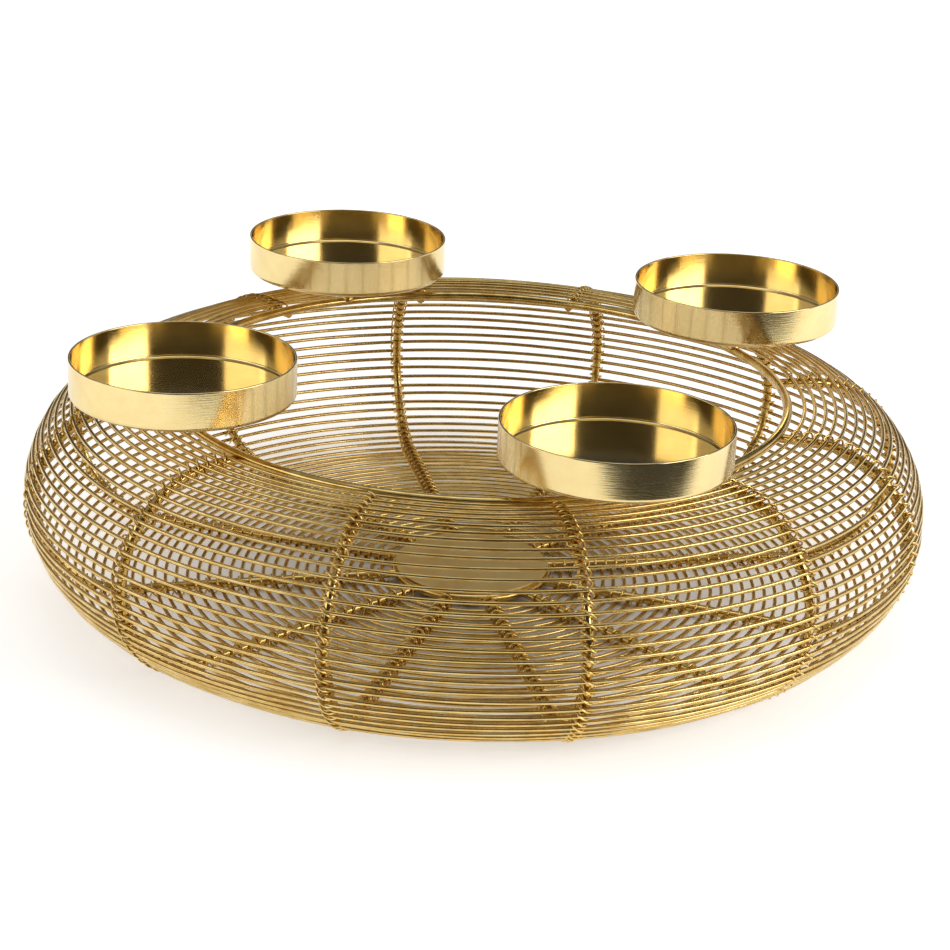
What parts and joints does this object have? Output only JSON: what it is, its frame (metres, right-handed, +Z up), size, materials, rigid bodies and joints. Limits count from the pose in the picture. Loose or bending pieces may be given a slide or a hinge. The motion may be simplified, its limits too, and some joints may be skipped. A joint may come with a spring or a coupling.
{
  "type": "advent candle holder",
  "caption": "Wide low wire bowl of laced hoops on bent ribs, carrying shallow round cups for pillar candles on short posts on its mouth ring.",
  "frame": {"origin": "on the bowl's axis, on the surface that it stands on", "axes": "+Z up along the bowl's axis, -Y towards the viewer of the picture, +X to the viewer's right"},
  "size_m": [0.338, 0.338, 0.106],
  "materials": {
    "rod": "steel rod with a satin gold plating",
    "hoop_wire": "steel wire with a satin gold plating",
    "lacing_wire": "fine steel wire with a bright gold plating",
    "sheet": "drawn steel sheet, polished and gold plated"
  },
  "bodies": {
    "root": {"top_ring": "rod", "hub_ring": "rod", "base_disc": "sheet", "rib_01": "rod", "rib_02": "rod", "rib_03": "rod", "rib_04": "rod", "rib_05": "rod", "rib_06": "rod", "rib_07": "rod", "rib_08": "rod", "rib_09": "rod", "rib_10": "rod", "rib_11": "rod", "rib_12": "rod", "shoulder_hoops": "hoop_wire", "upper_wall_hoops": "hoop_wire", "lower_wall_hoops": "hoop_wire", "outer_floor_hoops": "hoop_wire", "inner_floor_hoops": "hoop_wire", "wall_lacing_01": "lacing_wire", "wall_lacing_02": "lacing_wire", "wall_lacing_03": "lacing_wire", "wall_lacing_04": "lacing_wire", "wall_lacing_05": "lacing_wire", "wall_lacing_06": "lacing_wire", "wall_lacing_07": "lacing_wire", "wall_lacing_08": "lacing_wire", "wall_lacing_09": "lacing_wire", "wall_lacing_10": "lacing_wire", "wall_lacing_11": "lacing_wire", "wall_lacing_12": "lacing_wire", "floor_lacing_01": "lacing_wire", "floor_lacing_02": "lacing_wire", "floor_lacing_03": "lacing_wire", "floor_lacing_04": "lacing_wire", "floor_lacing_05": "lacing_wire", "floor_lacing_06": "lacing_wire", "floor_lacing_07": "lacing_wire", "floor_lacing_08": "lacing_wire", "floor_lacing_09": "lacing_wire", "floor_lacing_10": "lacing_wire", "floor_lacing_11": "lacing_wire", "floor_lacing_12": "lacing_wire", "candle_cup_1": "sheet", "candle_cup_2": "sheet", "candle_cup_3": "sheet", "candle_cup_4": "sheet", "cup_stem_1": "rod", "cup_stem_2": "rod", "cup_stem_3": "rod", "cup_stem_4": "rod"}
  },
  "joints": []
}
